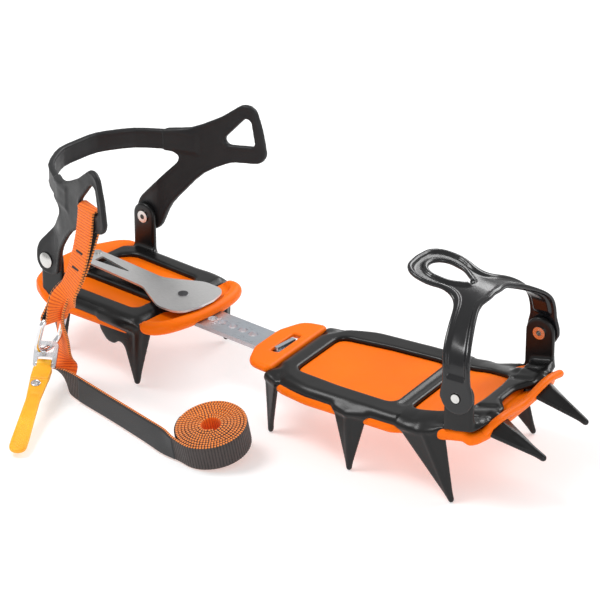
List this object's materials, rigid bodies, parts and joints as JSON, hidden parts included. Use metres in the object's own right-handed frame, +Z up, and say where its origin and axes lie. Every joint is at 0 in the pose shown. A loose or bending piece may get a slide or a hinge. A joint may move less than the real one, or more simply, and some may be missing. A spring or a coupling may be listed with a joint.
{
  "type": "crampon",
  "caption": "Strap-on crampon with pointed steel frames, toe cage, heel harness, webbing strap and a sprung length adjuster on a linking bar.",
  "frame": {"origin": "ground level under the middle of the crampon's footprint, its strap and buckle left out; the points' tips stand on Z = 0", "axes": "+X from the heel towards the toes along the front section, +Y to the wearer's left, +Z up; the bar and the heel section have swung 8.4 degrees about the hook"},
  "size_m": [0.3456, 0.2058, 0.138],
  "materials": {
    "frame_steel": "semi-gloss black powder coat",
    "orange_plate": "orange flexible plastic, slightly glossy",
    "cage_plastic": "glossy black moulded plastic",
    "harness_plastic": "dark grey satin moulded plastic",
    "zinc_steel": "zinc plated, satin",
    "leaf_steel": "light brushed stainless",
    "pin_steel": "dark phosphated steel",
    "rivet_steel": "domed and satin",
    "webbing": "ribbed woven webbing, orange on one face and dark on the other",
    "label_cloth": "dark blank woven label",
    "ring_chrome": "polished",
    "buckle_steel": "bright zinc plated",
    "tab_rubber": "yellow-orange soft plastic with a dotted grip"
  },
  "bodies": {
    "front_section": {"front_frame": "frame_steel", "front_antiball_plate": "orange_plate", "toe_rivet_left": "rivet_steel", "toe_rivet_right": "rivet_steel"},
    "toe_cage": {"toe_cage": "cage_plastic"},
    "link_bar": {"link_bar": "zinc_steel"},
    "heel_section": {"heel_frame": "frame_steel", "heel_antiball_plate": "orange_plate", "bar_guide": "zinc_steel", "heel_rivet_left": "rivet_steel", "heel_rivet_right": "rivet_steel", "strap_drop": "webbing", "strap_run": "webbing", "strap_label": "label_cloth", "strap_roll": "webbing"},
    "adjuster_leaf": {"adjuster_leaf": "leaf_steel", "adjuster_pin": "pin_steel", "leaf_rivet_left": "leaf_steel", "leaf_rivet_right": "leaf_steel"},
    "heel_harness": {"heel_harness": "harness_plastic", "strap_loop": "webbing"},
    "buckle": {"buckle_ring": "ring_chrome", "buckle_plate": "buckle_steel"},
    "pull_tab": {"pull_tab": "tab_rubber"}
  },
  "joints": [
    {"name": "cage_fold", "type": "hinge", "parent": "front_section", "child": "toe_cage", "pos_m": [0.13231, -0.01098, 0.063], "axis": [0, 1, 0], "range_deg": [-58, 70]},
    {"name": "bar_swing", "type": "hinge", "parent": "front_section", "child": "link_bar", "pos_m": [-0.00119, -0.01098, 0.036], "axis": [0, 0, 1], "range_deg": [-1.6, 18.4]},
    {"name": "length_slide", "type": "slide", "parent": "link_bar", "child": "heel_section", "axis": [0.9893, -0.1461, 0], "range_m": [-0.03, 0.015]},
    {"name": "leaf_lift", "type": "hinge", "parent": "heel_section", "child": "adjuster_leaf", "pos_m": [-0.15255, 0.01137, 0.0447], "axis": [-0.1461, -0.9893, 0], "range_deg": [0, 10], "stiffness_Nm_per_rad": 3, "springref_deg": -1.72},
    {"name": "harness_fold", "type": "hinge", "parent": "heel_section", "child": "heel_harness", "pos_m": [-0.14217, 0.00983, 0.0603], "axis": [0.1461, 0.9893, 0], "range_deg": [-50, 25]},
    {"name": "buckle_swing", "type": "hinge", "parent": "heel_harness", "child": "buckle", "pos_m": [-0.11732, -0.06763, 0.0472], "axis": [0.1461, 0.9893, 0], "range_deg": [-8, 30]},
    {"name": "tab_swing", "type": "hinge", "parent": "buckle", "child": "pull_tab", "pos_m": [-0.12176, -0.0723, 0.01905], "axis": [0.9079, 0.4192, 0], "range_deg": [-40, 20]}
  ]
}
